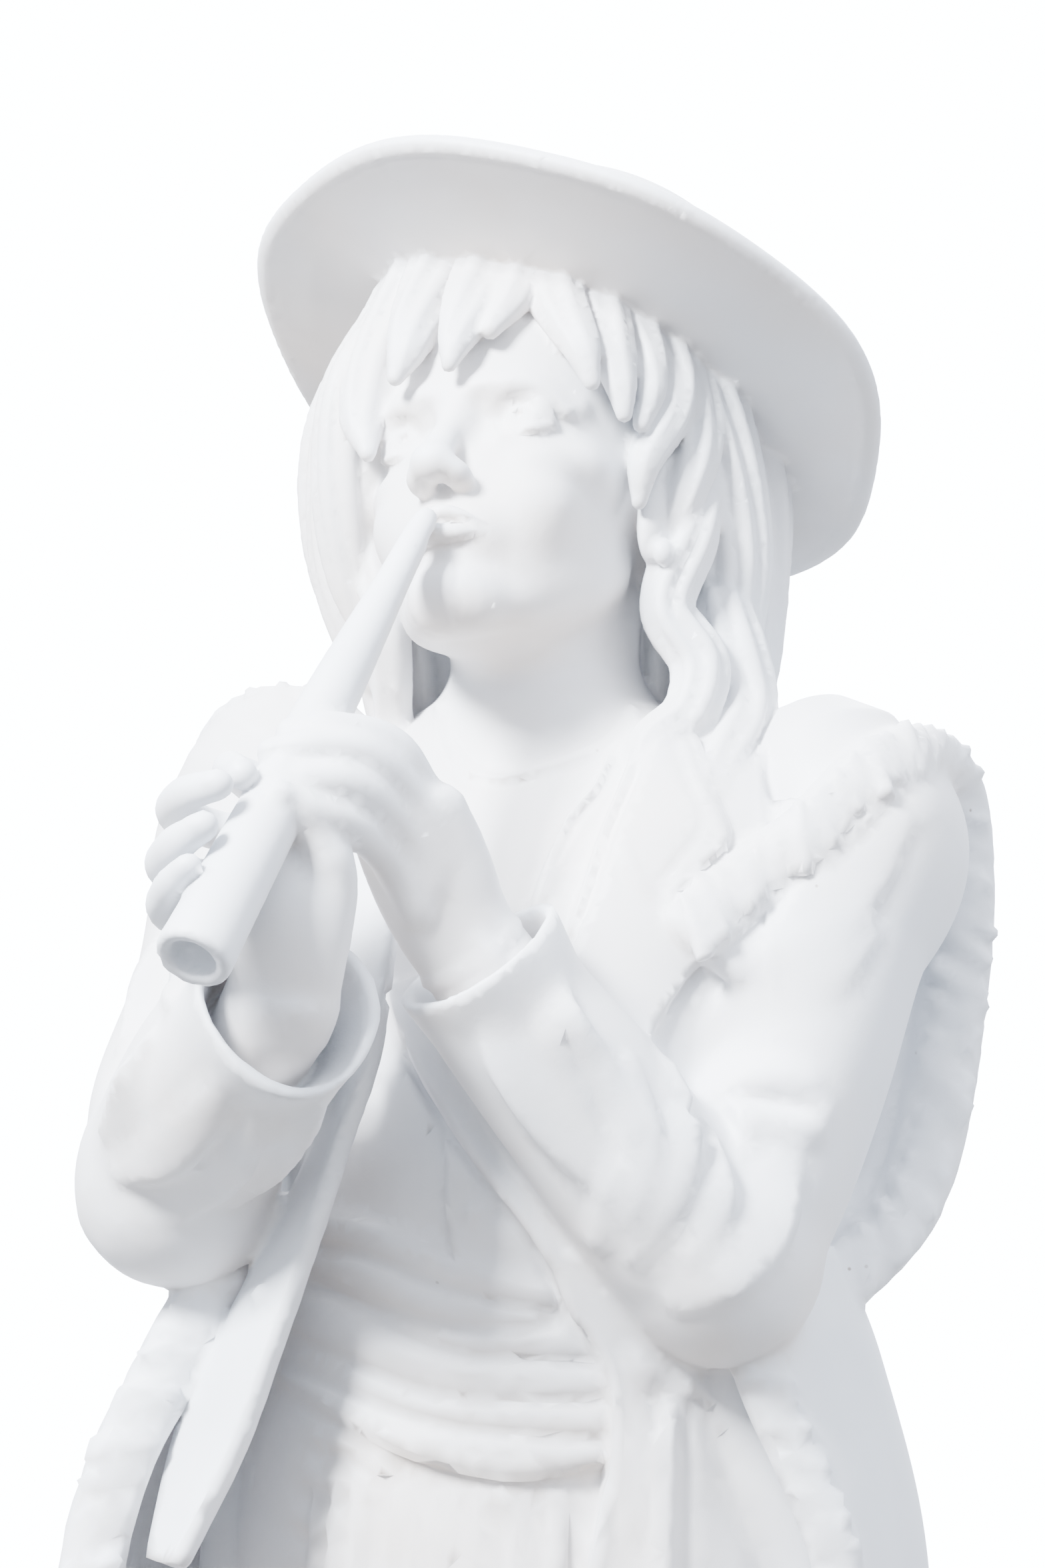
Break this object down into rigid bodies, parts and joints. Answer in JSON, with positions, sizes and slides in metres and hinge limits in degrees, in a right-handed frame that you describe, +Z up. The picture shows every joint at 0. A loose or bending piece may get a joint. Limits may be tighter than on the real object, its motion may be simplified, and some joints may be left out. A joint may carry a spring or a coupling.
{
  "type": "marble statue of a young piper",
  "caption": "Standing life-size marble figure of a youth in a wide hat and sheepskin coat who plays a pipe, on a low base.",
  "frame": {"origin": "middle of the flat underside of the low base", "axes": "+Z up through the figure, the figure faces -Y, +X is the figure's left"},
  "size_m": [0.47, 0.4956, 1.4613],
  "materials": {
    "marble": "honed, weathered white marble"
  },
  "bodies": {
    "root": {"statue": "marble"}
  },
  "joints": []
}
